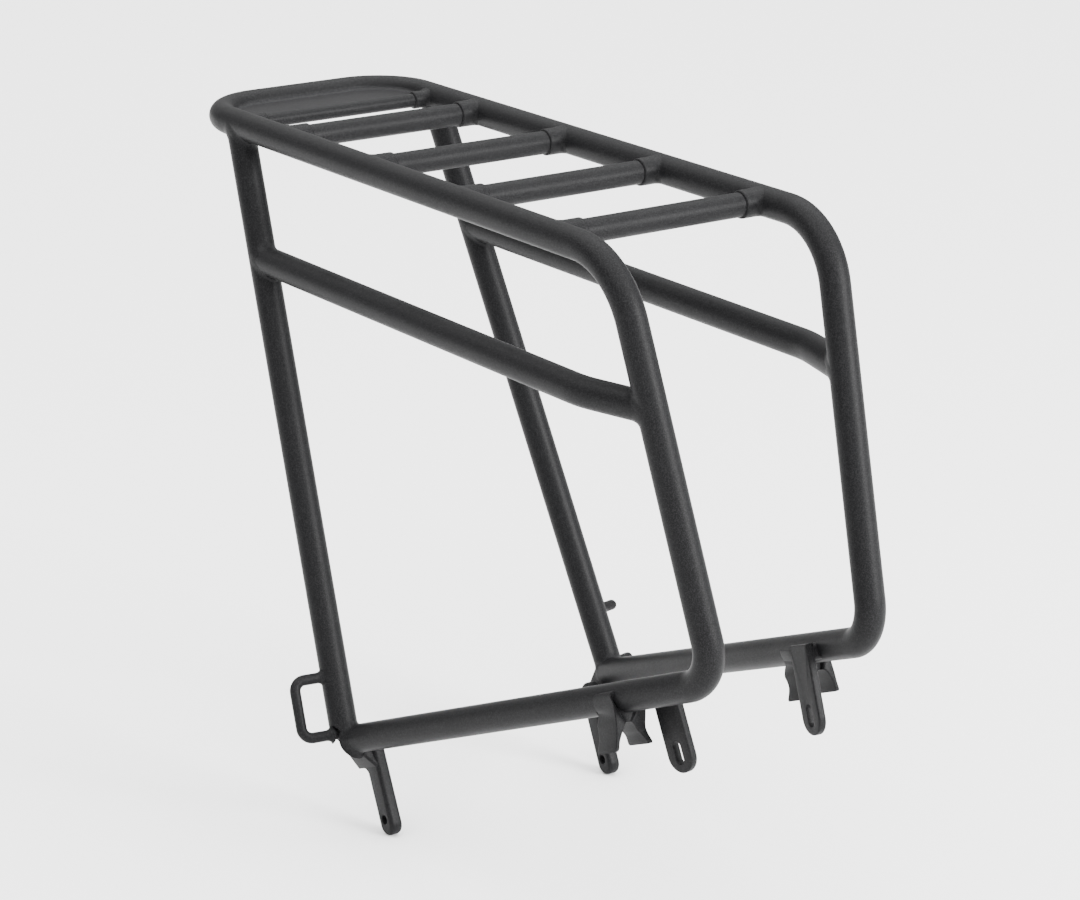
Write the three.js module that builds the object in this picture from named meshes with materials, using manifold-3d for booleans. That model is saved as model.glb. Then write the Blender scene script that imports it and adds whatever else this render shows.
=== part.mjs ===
// Rear carrier for a bicycle: one bent hoop of tube, two splayed struts, two pannier rails,
// crossbars, and the plates that bolt it to the frame.  Millimetres, +X forward, +Y left, +Z up.
import * as THREE from "three";
import { mergeVertices } from "three/addons/utils/BufferGeometryUtils.js";
import Module from "manifold-3d";

const wasm = await Module();
wasm.setup();

// ---------------------------------------------------------------- driving dimensions
const tubeDiameter = 15.9; // hoop, struts and pannier rails
const tubeWall = 1.8;
const crossbarDiameter = 12.7;
const crossbarWall = 1.5;
const tailBarDiameter = 8.0; // solid rod
const wireDiameter = 6.0; // strap loop and pegs
const weldGap = 0.3; // left between a coped end and the tube it meets

const deckWidth = 129.2; // between the centre lines of the two deck rails
const deckLength = 403.8; // tail centre line to the corner above the uprights
const tailBendRadius = 33.5;
const topBendRadius = 43.1;
const footBendRadius = 21.7;
const uprightDrop = 199.2; // deck centre line to the corner at the foot of the upright
const uprightLean = 0.315; // forward travel for each millimetre down
const uprightInset = 15.3; // each foot sits this much nearer the middle than the deck rail
const railReach = 278.6; // foot corner back to the rear end of the bottom rail
const railDrop = 117.7;
const railSplay = 38.0;

const strutFromTail = 43.8; // top of the strut, forward of the tail centre line
const strutOutset = 2.7; // strut foot, outboard of the end of the bottom rail
const midRailDrop = 70.1;
const midRailKnee = 42.0; // last stretch of the pannier rail, bent in to the upright
const midRailBendRadius = 60;

const crossbarCount = 4;
const firstCrossbarFromCorner = 51.6;
const tailBarFromTail = 45.0;
const lastCrossbarFromTailBar = 47.1;
const tailPlateThickness = 3.0;
const plateTuck = 0.7; // edge of the tail plate, inside the line of the tubes around it
const collarLength = 8.0;
const collarProud = 1.0;
const collarFoot = 0.9; // extra height of a collar where it meets the deck rail

const dropoutThickness = 7.7;
const dropoutWidth = 13.0;
const dropoutSpacing = 140.4; // between the inner faces of the two dropout tabs
const dropoutAhead = 19.2; // bolt hole, ahead of the strut foot
const dropoutBelow = 43.6; // bolt hole, below the strut foot
const dropoutEnd = 2.6; // centre of the tab's round end, below the bolt hole
const dropoutRoot = 3.6; // top of the dropout tab, below the strut foot and inside the knuckle
const boltHole = 5.3;
const knuckleLength = 21.0;
const knuckleBehind = 7.8; // rear face of the knuckle, behind the strut foot
const knuckleDepth = 19.4; // strut foot to the lower face of the knuckle
const slantIn = 2.95; // top of the slanted face, inside the skin of the strut
const slantUp = 6.9; // top of the slanted face, above the strut foot
const capThickness = 3.0; // metal between the slanted face and the end of the strut

const saddleFromCorner = 68.4; // along X from the foot corner to the middle of the saddle
const saddleLength = 19.4;
const saddleBelow = 17.4; // lower edge of the wings, below the skin of the rail
const slotTabThickness = 4.3;
const slotTabWidth = 17.6;
const slotTabGap = 2.0; // skin of the rail to the outer face of the slotted tab
const slotTabAhead = 22.6; // slot, ahead of the middle of the saddle
const slotTabDrop = 33.4; // slot, below the rail centre line
const slotTabRise = 3.0; // top of the tab and its pad, above the rail centre line
const slotTabPad = 9.0; // height of the pad that joins the tab to the rail
const padSink = 0.4; // share of the rail's radius that the pad reaches past the skin
const slotWidth = 5.3;
const slotLength = 12.0;
const slotEndWall = 4.4; // metal below the slot

const loopOut = 23.8; // strap loop, outboard of the strut centre line
const loopBack = 4.3;
const loopLower = 4.1; // lower leg, above the strut foot
const loopHeight = 29.1; // between the two legs
const loopBendRadius = 6.0;
const pegOut = 18.4;

const tubeSides = 16;
const smallSides = 12;
const stepsPerBend = 7;

const tubeRadius = tubeDiameter / 2;
const saddleDepth = tubeRadius + saddleBelow; // rail centre line to the lower edge of the wings
const crossbarSpan = deckLength - firstCrossbarFromCorner - tailBarFromTail - lastCrossbarFromTailBar;
const crossbarPitch = crossbarSpan / (crossbarCount - 1);

// ---------------------------------------------------------------- finish
const coatBlack = { color: 0x37373a, roughness: 0.62, metalness: 0.35 };
const plateGrey = { color: 0x4a4a4d, roughness: 0.6, metalness: 0.35 };

// ---------------------------------------------------------------- geometry helpers
const V = (x, y, z) => new THREE.Vector3(x, y, z);
const SIDES = [
  ["right", -1],
  ["left", 1],
];

// A path of straight runs and circular bends whose rings lie only where the direction changes.
class BentPath extends THREE.Curve {
  constructor(corners, radii, steps = stepsPerBend) {
    super();
    this.points = [];
    this.tangents = [];
    const last = corners.length - 1;
    corners.forEach((corner, i) => {
      if (i === 0 || i === last) {
        const end = i === 0 ? [corners[0], corners[1]] : [corners[last - 1], corners[last]];
        this.addRing(corner, end[1].clone().sub(end[0]).normalize());
        return;
      }
      const into = corner.clone().sub(corners[i - 1]).normalize();
      const out = corners[i + 1].clone().sub(corner).normalize();
      const turn = into.angleTo(out);
      const radius = radii[i - 1];
      const start = corner.clone().addScaledVector(into, -radius * Math.tan(turn / 2));
      const side = out.clone().addScaledVector(into, -out.dot(into)).normalize();
      for (let k = 0; k <= steps; k += 1) {
        const a = (turn * k) / steps;
        const point = start.clone().addScaledVector(into, radius * Math.sin(a));
        point.addScaledVector(side, radius * (1 - Math.cos(a)));
        const tangent = into.clone().multiplyScalar(Math.cos(a)).addScaledVector(side, Math.sin(a));
        this.addRing(point, tangent);
      }
    });
  }

  addRing(point, tangent) {
    this.points.push(point.clone());
    this.tangents.push(tangent.clone().normalize());
  }

  get steps() {
    return this.points.length - 1;
  }

  getPoint(u, target = new THREE.Vector3()) {
    const s = Math.min(Math.max(u, 0), 1) * this.steps;
    const i = Math.min(Math.floor(s + 1e-9), this.steps - 1);
    return target.copy(this.points[i]).lerp(this.points[i + 1], s - i);
  }

  getPointAt(u, target) {
    return this.getPoint(u, target);
  }

  getTangent(u, target = new THREE.Vector3()) {
    return target.copy(this.tangents[Math.round(u * this.steps)]);
  }

  getTangentAt(u, target) {
    return this.getTangent(u, target);
  }
}

function circlePoints(radius, sides) {
  const points = [];
  for (let i = 0; i < sides; i += 1) {
    const a = (2 * Math.PI * (i + 0.5)) / sides;
    points.push(new THREE.Vector2(radius * Math.cos(a), radius * Math.sin(a)));
  }
  return points;
}

// Tube (or rod, when wall is 0) swept along a path.
function sweep(path, diameter, wall, sides) {
  const section = new THREE.Shape(circlePoints(diameter / 2, sides));
  if (wall > 0) {
    section.holes.push(new THREE.Path(circlePoints(diameter / 2 - wall, sides)));
  }
  return new THREE.ExtrudeGeometry(section, { steps: path.steps, extrudePath: path });
}

function straight(a, b) {
  return new BentPath([a, b], []);
}

// Flat plate: an outline in its own plane, given a thickness along the third axis.
function plate(outline, thickness, holes = []) {
  const shape = new THREE.Shape(outline);
  holes.forEach((hole) => shape.holes.push(new THREE.Path(hole)));
  return new THREE.ExtrudeGeometry(shape, { depth: thickness, bevelEnabled: false });
}

// Outline of a straight strap from its top down to a round end whose centre is at endHeight.
function strapOutline(back, front, top, endHeight, endSteps = 12) {
  const radius = (back + front) / 2;
  const middle = (front - back) / 2;
  const points = [new THREE.Vector2(-back, top)];
  for (let i = 0; i <= endSteps; i += 1) {
    const a = Math.PI + (Math.PI * i) / endSteps;
    points.push(new THREE.Vector2(middle + radius * Math.cos(a), endHeight + radius * Math.sin(a)));
  }
  points.push(new THREE.Vector2(front, top));
  return points;
}

// Outline of a slot of the given overall length and width, centred on the origin, along Y.
function slotOutline(width, length, steps = 8) {
  const r = width / 2;
  const reach = Math.max(length / 2 - r, 0);
  const points = [];
  for (let i = 0; i <= steps; i += 1) {
    const a = (Math.PI * i) / steps;
    points.push(new THREE.Vector2(r * Math.cos(a), reach + r * Math.sin(a)));
  }
  for (let i = 0; i <= steps; i += 1) {
    const a = Math.PI + (Math.PI * i) / steps;
    if (reach > 0 || (i > 0 && i < steps)) {
      points.push(new THREE.Vector2(r * Math.cos(a), -reach + r * Math.sin(a)));
    }
  }
  return points;
}

// ---------------------------------------------------------------- cuts and joins
function toSolid(geometry) {
  const bare = geometry.clone();
  bare.deleteAttribute("normal");
  bare.deleteAttribute("uv");
  const merged = mergeVertices(bare, 1e-4);
  const mesh = new wasm.Mesh({
    numProp: 3,
    vertProperties: Float32Array.from(merged.attributes.position.array),
    triVerts: Uint32Array.from(merged.index.array),
  });
  return new wasm.Manifold(mesh);
}

function toGeometry(solid) {
  const mesh = solid.getMesh();
  const geometry = new THREE.BufferGeometry();
  geometry.setAttribute("position", new THREE.BufferAttribute(mesh.vertProperties, 3));
  geometry.setIndex(new THREE.BufferAttribute(mesh.triVerts, 1));
  geometry.computeVertexNormals();
  return geometry;
}

function cut(geometry, ...tools) {
  return toGeometry(tools.reduce((solid, tool) => solid.subtract(toSolid(tool)), toSolid(geometry)));
}

function join(geometry, ...others) {
  return toGeometry(others.reduce((solid, other) => solid.add(toSolid(other)), toSolid(geometry)));
}

// Solid round bar along a path, a weld gap larger than the tube it stands for.
function clearance(path, diameter, sides = tubeSides) {
  return sweep(path, diameter + 2 * weldGap, 0, sides);
}

// Places a plate drawn in the side view: its outline X and Y become the given forward and
// upward directions, and its thickness runs along +Y of the carrier.
function inSideView(geometry, origin, forward, up) {
  const across = forward.clone().cross(up);
  const frame = new THREE.Matrix4().makeBasis(forward, up, across);
  frame.setPosition(origin);
  return geometry.applyMatrix4(frame);
}

// ---------------------------------------------------------------- skeleton
const halfDeck = deckWidth / 2;
const frontCornerX = 0;
const tailX = frontCornerX - deckLength;

const skeleton = {};
SIDES.forEach(([name, s]) => {
  const topCorner = V(frontCornerX, s * halfDeck, 0);
  const footCorner = V(
    frontCornerX + uprightLean * uprightDrop,
    s * (halfDeck - uprightInset),
    -uprightDrop,
  );
  const railEnd = footCorner.clone().add(V(-railReach, s * railSplay, -railDrop));
  const strutTop = V(tailX + strutFromTail, s * halfDeck, 0);
  const strutFoot = railEnd.clone().add(V(0, s * strutOutset, 0));
  skeleton[name] = { s, topCorner, footCorner, railEnd, strutTop, strutFoot };
});

function along(a, b, axis, value) {
  const t = (value - a[axis]) / (b[axis] - a[axis]);
  return a.clone().lerp(b, t);
}

const strutAt = (name, z) => along(skeleton[name].strutTop, skeleton[name].strutFoot, "z", z);
const uprightAt = (name, z) => along(skeleton[name].topCorner, skeleton[name].footCorner, "z", z);
const railAt = (name, x) => along(skeleton[name].footCorner, skeleton[name].railEnd, "x", x);

const R = skeleton.right;
const L = skeleton.left;
const hoopPath = new BentPath(
  [
    R.railEnd,
    R.footCorner,
    R.topCorner,
    V(tailX, -halfDeck, 0),
    V(tailX, halfDeck, 0),
    L.topCorner,
    L.footCorner,
    L.railEnd,
  ],
  [
    footBendRadius,
    topBendRadius,
    tailBendRadius,
    tailBendRadius,
    topBendRadius,
    footBendRadius,
  ],
);

// ---------------------------------------------------------------- pieces
const carrier = new THREE.Group();

function addPiece(name, geometry, finish = coatBlack) {
  const mesh = new THREE.Mesh(geometry, new THREE.MeshStandardMaterial({ ...finish }));
  mesh.name = name;
  carrier.add(mesh);
}

// Straight solid stand-ins for the tubes that other pieces are coped against.
const deckRailTool = (s) => {
  const back = V(tailX + tailBendRadius / 2, s * halfDeck, 0);
  return clearance(straight(back, V(-topBendRadius / 2, s * halfDeck, 0)), tubeDiameter);
};
const strutTool = (name, from = 0) => {
  const { strutTop, strutFoot } = skeleton[name];
  const high = strutTop.clone().lerp(strutFoot, from);
  const low = strutTop.clone().lerp(strutFoot, 1.05);
  return clearance(straight(high, low), tubeDiameter);
};
const uprightTool = (name) => {
  const top = uprightAt(name, -topBendRadius);
  const low = uprightAt(name, -(uprightDrop - 1.5 * footBendRadius));
  return clearance(straight(top, low), tubeDiameter);
};
const railTool = (name) => {
  const { footCorner, railEnd } = skeleton[name];
  const from = footCorner.clone().lerp(railEnd, footBendRadius / railReach);
  return clearance(straight(from, railEnd), tubeDiameter);
};

addPiece(
  "hoop_tube",
  cut(
    sweep(hoopPath, tubeDiameter, tubeWall, tubeSides),
    strutTool("right", 0.6),
    strutTool("left", 0.6),
  ),
);

// Crossbars between the deck rails, with a collar around each end.
function collar(radius, s, x) {
  const bore = radius + weldGap;
  const inner = tubeRadius / 2;
  const outer = tubeRadius + collarLength;
  const profile = [
    new THREE.Vector2(bore, inner),
    new THREE.Vector2(bore + collarProud + collarFoot, inner),
    new THREE.Vector2(bore + collarProud + collarFoot, tubeRadius + 0.06 * collarLength),
    new THREE.Vector2(bore + collarProud, tubeRadius + 0.38 * collarLength),
    new THREE.Vector2(bore + 0.8 * collarProud, tubeRadius + 0.85 * collarLength),
    new THREE.Vector2(bore + 0.35 * collarProud, outer),
    new THREE.Vector2(bore, outer),
    new THREE.Vector2(bore, inner),
  ];
  const ring = new THREE.LatheGeometry(profile, tubeSides);
  if (s > 0) ring.rotateZ(Math.PI);
  ring.translate(x, s * halfDeck, 0);
  return cut(ring, deckRailTool(s), strutTool(s < 0 ? "right" : "left"));
}

function addCrossbar(name, x, diameter, wall) {
  const bar = sweep(straight(V(x, -halfDeck, 0), V(x, halfDeck, 0)), diameter, wall, tubeSides);
  const neighbours = [deckRailTool(-1), deckRailTool(1), strutTool("right"), strutTool("left")];
  addPiece(name, cut(bar, ...neighbours));
  SIDES.forEach(([side, s]) => addPiece(`${name}_${side}_collar`, collar(diameter / 2, s, x)));
}

for (let i = 0; i < crossbarCount; i += 1) {
  const x = frontCornerX - firstCrossbarFromCorner - i * crossbarPitch;
  addCrossbar(`crossbar_${i + 1}`, x, crossbarDiameter, crossbarWall);
}
const tailBarX = tailX + tailBarFromTail;
addCrossbar("tail_bar", tailBarX, tailBarDiameter, 0);

// Plate closing the U of the tail, between the hoop and the tail bar.
{
  const inset = tubeRadius + weldGap - plateTuck;
  const back = tailX + inset;
  const side = halfDeck - inset;
  const bend = tailBendRadius - inset;
  const front = tailBarX - tailBarDiameter / 2 - weldGap + plateTuck;
  const outline = [new THREE.Vector2(front, -side)];
  for (const s of [-1, 1]) {
    for (let k = 0; k <= stepsPerBend; k += 1) {
      const a = (s < 0 ? k : stepsPerBend - k) * (Math.PI / 2 / stepsPerBend);
      const x = back + bend - bend * Math.sin(a);
      outline.push(new THREE.Vector2(x, s * (side - bend + bend * Math.cos(a))));
    }
  }
  outline.push(new THREE.Vector2(front, side));
  const sheet = plate(outline, tailPlateThickness);
  sheet.translate(0, 0, -tailPlateThickness / 2);
  const hoopTail = clearance(
    new BentPath(
      [V(0, -halfDeck, 0), V(tailX, -halfDeck, 0), V(tailX, halfDeck, 0), V(0, halfDeck, 0)],
      [tailBendRadius, tailBendRadius],
    ),
    tubeDiameter,
  );
  const bar = clearance(straight(V(tailBarX, -halfDeck, 0), V(tailBarX, halfDeck, 0)), tailBarDiameter);
  const collars = SIDES.map(([, s]) => {
    const end = V(tailBarX, s * (halfDeck - tubeRadius - collarLength - weldGap), 0);
    const reach = tailBarDiameter + 2 * (weldGap + collarProud + collarFoot);
    return clearance(straight(V(tailBarX, s * halfDeck, 0), end), reach);
  });
  addPiece("tail_plate", cut(sheet, hoopTail, bar, ...collars), plateGrey);
}

// Both ends of the slanted face that closes the strut, in the Y-Z plane through the strut foot.
function slantEnds(name) {
  const { s, strutFoot } = skeleton[name];
  const out = strutFoot.y + s * (tubeRadius - slantIn);
  const high = new THREE.Vector2(out, strutFoot.z + slantUp);
  const low = new THREE.Vector2(s * (dropoutSpacing / 2 + dropoutThickness), strutFoot.z - knuckleDepth);
  return { high, low };
}

// Cuts away everything outboard of and below the slanted face, moved into the strut by offset.
function strutEndTool(name, offset) {
  const { s, strutFoot } = skeleton[name];
  const { high, low } = slantEnds(name);
  const slope = low.clone().sub(high).normalize();
  const inward = new THREE.Vector2(-s * Math.abs(slope.y), Math.abs(slope.x));
  const a = high.clone().addScaledVector(inward, offset).addScaledVector(slope, -40);
  const b = high.clone().addScaledVector(inward, offset).addScaledVector(slope, 60);
  const c = b.clone().addScaledVector(inward, -60);
  const d = a.clone().addScaledVector(inward, -60);
  return alongRail([a, b, c, d], strutFoot.x - 60, 120, name);
}

// Prism whose outline lies in the Y-Z plane and which runs forward parallel to the bottom rail
// in the side view, from x0 for the given length.  Heights are those at the strut foot.
function alongRail(outline, x0, length, name) {
  const { strutFoot } = skeleton[name];
  const slope = railDrop / railReach;
  const solid = plate(outline, length);
  const rise = slope * (x0 - strutFoot.x);
  const frame = new THREE.Matrix4().makeBasis(V(0, 1, 0), V(0, 0, 1), V(1, 0, slope));
  frame.setPosition(x0, 0, rise);
  return solid.applyMatrix4(frame);
}

const railForward = V(railReach, 0, railDrop).normalize();
const railUp = V(-railForward.z, 0, railForward.x);

// The closed strut, a weld gap larger all round, for coping the wires welded to it.
const strutSkin = (name) => cut(strutTool(name), strutEndTool(name, -weldGap));

SIDES.forEach(([name, s]) => {
  const { strutTop, strutFoot } = skeleton[name];

  // Rear strut, coped to the deck rail and cut off on the slant where the dropout takes over.
  const strutEnd = strutTop.clone().lerp(strutFoot, 1.04);
  const strutStart = strutAt(name, -0.25 * tubeRadius);
  const strut = sweep(straight(strutStart, strutEnd), tubeDiameter, tubeWall, tubeSides);
  addPiece(`${name}_rear_strut`, cut(strut, deckRailTool(s), strutEndTool(name, capThickness)));

  // Pannier rail from the strut to the upright, bent inwards near the front.
  const rear = strutAt(name, -midRailDrop);
  const front = uprightAt(name, -midRailDrop);
  const knee = V(front.x - midRailKnee, rear.y, -midRailDrop);
  const midPath = new BentPath([rear, knee, front], [midRailBendRadius], 4);
  const midRail = sweep(midPath, tubeDiameter, tubeWall, tubeSides);
  addPiece(`${name}_pannier_rail`, cut(midRail, strutTool(name), uprightTool(name)));

  // Rear dropout: a knuckle that steps inwards under the strut and carries a drilled tab.
  const inner = s * (dropoutSpacing / 2);
  const outer = s * (dropoutSpacing / 2 + dropoutThickness);
  const y = strutFoot.y;
  const z = strutFoot.z;
  const slant = slantEnds(name);
  const knuckleOutline = [
    slant.high,
    slant.low,
    new THREE.Vector2(inner, z - knuckleDepth),
    new THREE.Vector2(inner, z - 0.72 * knuckleDepth),
    new THREE.Vector2(y - s * (tubeRadius + 2.9), z - 0.3 * knuckleDepth),
    new THREE.Vector2(y - s * (tubeRadius + 1.7), z - 0.1 * knuckleDepth),
  ];
  if (s > 0) knuckleOutline.reverse();
  const knuckle = alongRail(knuckleOutline, strutFoot.x - knuckleBehind, knuckleLength, name);
  const lean = V(strutFoot.x - strutTop.x, 0, strutFoot.z - strutTop.z).normalize();
  const tabUp = lean.clone().negate();
  const tabForward = V(-tabUp.z, 0, tabUp.x).negate();
  const hole = V(strutFoot.x + dropoutAhead, Math.max(inner, outer), strutFoot.z - dropoutBelow);
  const tab = inSideView(
    plate(
      strapOutline(dropoutWidth / 2, dropoutWidth / 2, dropoutBelow - dropoutRoot, -dropoutEnd),
      dropoutThickness,
      [slotOutline(boltHole, boltHole).reverse()],
    ),
    hole,
    tabForward,
    tabUp,
  );
  const strutSolid = cut(strutTool(name), strutEndTool(name, capThickness - weldGap));
  addPiece(`${name}_rear_dropout`, cut(join(tab, knuckle), strutSolid, railTool(name)));

  // Front saddle: a forked block gripping the underside of the bottom rail, wings downwards.
  const middle = railAt(name, skeleton[name].footCorner.x - saddleFromCorner);
  const r = tubeRadius;
  const wings = [
    [r + 1.9, 0.5 * r],
    [r + 2.6, -0.75 * r],
    [r + 3.3, -(r + 6)],
    [r + 5.3, -saddleDepth],
    [r + 3.5, -saddleDepth],
    [r + 2.0, -(r + 12.5)],
    [r - 0.8, -(r + 8)],
    [r - 2.6, -(r + 5.4)],
    [r - 5.0, -(r + 4.3)],
    [r - 7.4, -(r + 4.9)],
    [r - 9.2, -(r + 7)],
    [r - 12.6, -(r + 12.5)],
    [r - 14.0, -saddleDepth],
    [r - 16.9, -saddleDepth],
    [-(r + 0.2), -(r + 9)],
    [-(r + 1.7), -r],
    [-(r + 2.5), 0],
  ].map(([out, up]) => new THREE.Vector2(s * out, up));
  if (s < 0) wings.reverse();
  const saddle = plate(wings, saddleLength);
  const saddleFrame = new THREE.Matrix4().makeBasis(V(0, 1, 0), railUp, railForward);
  saddleFrame.setPosition(middle.clone().addScaledVector(railForward, -saddleLength / 2));
  saddle.applyMatrix4(saddleFrame);
  addPiece(`${name}_front_saddle`, cut(saddle, railTool(name)));

  // Slotted tab beside the rail and parallel to it, with a pad welded to the side of the tube.
  const railRun = skeleton[name].footCorner.clone().sub(skeleton[name].railEnd).normalize();
  const railOut = V(-s * railRun.y, s * railRun.x, 0).normalize();
  const tabRise = railOut.clone().cross(railRun).multiplyScalar(-s);
  const faceOut = tubeRadius + slotTabGap; // both faces, inboard of the rail's centre line
  const faceIn = faceOut + slotTabThickness;
  const padOut = (1 - padSink) * tubeRadius;
  const slotAt = (inboard) =>
    middle
      .clone()
      .addScaledVector(railRun, slotTabAhead)
      .addScaledVector(tabRise, -slotTabDrop)
      .addScaledVector(railOut, -inboard);
  const tabTop = slotTabDrop + slotTabRise;
  const endCentre = slotTabWidth / 2 - slotLength / 2 - slotEndWall;
  const outline = strapOutline(slotTabWidth / 2, slotTabWidth / 2, tabTop, endCentre);
  const slotted = inSideView(
    plate(outline, slotTabThickness, [slotOutline(slotWidth, slotLength).reverse()]),
    slotAt(s < 0 ? faceIn : faceOut),
    railRun,
    tabRise,
  );
  const padOutline = [
    new THREE.Vector2(-slotTabWidth / 2, tabTop),
    new THREE.Vector2(-slotTabWidth / 2, tabTop - slotTabPad),
    new THREE.Vector2(slotTabWidth / 2, tabTop - slotTabPad),
    new THREE.Vector2(slotTabWidth / 2, tabTop),
  ];
  const padPlate = plate(padOutline, faceIn - padOut);
  const pad = inSideView(padPlate, slotAt(s < 0 ? faceIn : padOut), railRun, tabRise);
  addPiece(`${name}_front_slotted_tab`, cut(join(slotted, pad), railTool(name)));
});

// Strap loop on the right strut: bent wire, both ends coped to the tube.
const outward = (s, out) => V((-loopBack * out) / loopOut, s * out, 0);
{
  const low = strutAt("right", skeleton.right.strutFoot.z + loopLower);
  const high = strutAt("right", skeleton.right.strutFoot.z + loopLower + loopHeight);
  const reach = outward(-1, loopOut);
  const corners = [high, high.clone().add(reach), low.clone().add(reach), low];
  const path = new BentPath(corners, [loopBendRadius, loopBendRadius]);
  addPiece("right_strap_loop", cut(sweep(path, wireDiameter, 0, smallSides), strutSkin("right")));
}

// Pegs with domed ends at the same heights on the left strut.
[
  ["left_lower_peg", loopLower],
  ["left_upper_peg", loopLower + loopHeight],
].forEach(([name, height]) => {
  const root = strutAt("left", skeleton.left.strutFoot.z + height);
  const tip = root.clone().add(outward(1, pegOut));
  const length = root.distanceTo(tip);
  const r = wireDiameter / 2;
  const profile = [new THREE.Vector2(0, 0), new THREE.Vector2(r, 0)];
  for (let k = 0; k < 4; k += 1) {
    const a = (Math.PI / 2) * (k / 4);
    profile.push(new THREE.Vector2(r * Math.cos(a), length - r + r * Math.sin(a)));
  }
  profile.push(new THREE.Vector2(0, length));
  const peg = new THREE.LatheGeometry(profile, smallSides);
  const turn = new THREE.Quaternion().setFromUnitVectors(V(0, 1, 0), tip.clone().sub(root).normalize());
  peg.applyQuaternion(turn);
  peg.translate(root.x, root.y, root.z);
  addPiece(name, cut(peg, strutSkin("left")));
});

// ---------------------------------------------------------------- origin at the bottom centre
carrier.updateMatrixWorld(true);
const bounds = new THREE.Box3().setFromObject(carrier, true);
const centre = bounds.getCenter(new THREE.Vector3());
carrier.children.forEach((mesh) => mesh.geometry.translate(-centre.x, -centre.y, -bounds.min.z));

export default carrier;
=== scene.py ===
"""Looks of a welded bicycle rear rack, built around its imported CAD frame.

Every new piece is a surface worked out with numpy in millimetres and written to its mesh in metres.
"""

import logging
import math
from dataclasses import dataclass, field
from enum import Enum
from typing import Sequence

import bpy
import numpy as np
from mathutils import Matrix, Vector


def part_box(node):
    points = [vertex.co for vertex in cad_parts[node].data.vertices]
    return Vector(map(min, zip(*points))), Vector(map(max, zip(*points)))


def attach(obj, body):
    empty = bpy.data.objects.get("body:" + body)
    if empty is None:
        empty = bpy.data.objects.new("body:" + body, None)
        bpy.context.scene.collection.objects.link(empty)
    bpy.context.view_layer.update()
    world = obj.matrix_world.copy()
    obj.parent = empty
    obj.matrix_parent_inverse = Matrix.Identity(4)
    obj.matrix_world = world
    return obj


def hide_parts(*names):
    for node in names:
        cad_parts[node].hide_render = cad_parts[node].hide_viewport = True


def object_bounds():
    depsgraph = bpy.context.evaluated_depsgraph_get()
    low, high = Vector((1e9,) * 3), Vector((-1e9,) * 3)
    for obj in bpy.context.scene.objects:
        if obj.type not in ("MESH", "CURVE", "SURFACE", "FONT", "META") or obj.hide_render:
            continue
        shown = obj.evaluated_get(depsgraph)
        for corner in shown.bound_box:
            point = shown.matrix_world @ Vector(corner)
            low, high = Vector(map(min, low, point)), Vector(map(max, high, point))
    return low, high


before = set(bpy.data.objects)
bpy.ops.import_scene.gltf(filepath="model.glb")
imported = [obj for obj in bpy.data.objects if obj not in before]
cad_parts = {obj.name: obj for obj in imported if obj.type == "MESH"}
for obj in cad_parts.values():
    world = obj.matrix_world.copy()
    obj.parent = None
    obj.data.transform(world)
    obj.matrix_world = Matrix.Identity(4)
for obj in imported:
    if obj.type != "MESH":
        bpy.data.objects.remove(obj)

CAD_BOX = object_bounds()
METRES = 0.001  # one millimetre
BODY = "root"

Array = np.ndarray
log = logging.getLogger("rack")


class Side(Enum):
    """The bicycle's two sides, with the sign of their Y."""

    RIGHT = -1
    LEFT = 1

    @property
    def label(self) -> str:
        """The side's name as the CAD nodes spell it."""
        return self.name.lower()


# ---------------------------------------------------------------- vectors and bars


def unit(v: Array) -> Array:
    """Scales vectors along the last axis to length one.

    Args:
        v: One vector or an array of them.

    Returns:
        Array of the same shape.
    """
    v = np.asarray(v, float)
    return v / np.maximum(np.linalg.norm(v, axis=-1, keepdims=True), 1e-12)


def across(direction: Array) -> tuple[Array, Array]:
    """Two unit vectors square to a direction and to each other.

    Args:
        direction: Unit vector.

    Returns:
        The pair, turning right-handed about the direction.
    """
    helper = np.eye(3)[int(np.argmin(np.abs(direction)))]
    first = unit(np.cross(direction, helper))
    return first, np.cross(direction, first)


@dataclass(frozen=True)
class Bar:
    """An endless round bar, given by a point on its axis, its direction and its radius."""

    point: Array
    direction: Array
    radius: float

    def off_axis(self, points: Array) -> Array:
        """Vectors from the nearest place on the axis to each point."""
        rel = np.asarray(points) - self.point
        return rel - (rel @ self.direction)[..., None] * self.direction

    def skin(self, points: Array, sink: float = 0.0) -> Array:
        """Moves points straight out or in to the bar's skin.

        Args:
            points: Points near the bar.
            sink: How far below the skin they end.

        Returns:
            The moved points.
        """
        off = self.off_axis(points)
        return points - off + unit(off) * (self.radius - sink)

    def reach(self, starts: Array, direction: Array, sink: float = 0.0) -> Array:
        """Slides points along a direction until they enter the bar.

        The distance is the smaller root of the quadratic that puts the point at the bar's radius;
        a line that misses stops where it passes nearest.

        Args:
            starts: Points outside the bar.
            direction: Unit vector towards the bar.
            sink: How far below the skin the points end.

        Returns:
            The moved points.
        """
        off = self.off_axis(starts)
        slide = direction - (direction @ self.direction) * self.direction
        a = slide @ slide
        b = off @ slide
        c = (off**2).sum(-1) - (self.radius - sink) ** 2
        distance = (-b - np.sqrt(np.maximum(b * b - a * c, 0.0))) / a
        return starts + distance[..., None] * direction


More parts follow.
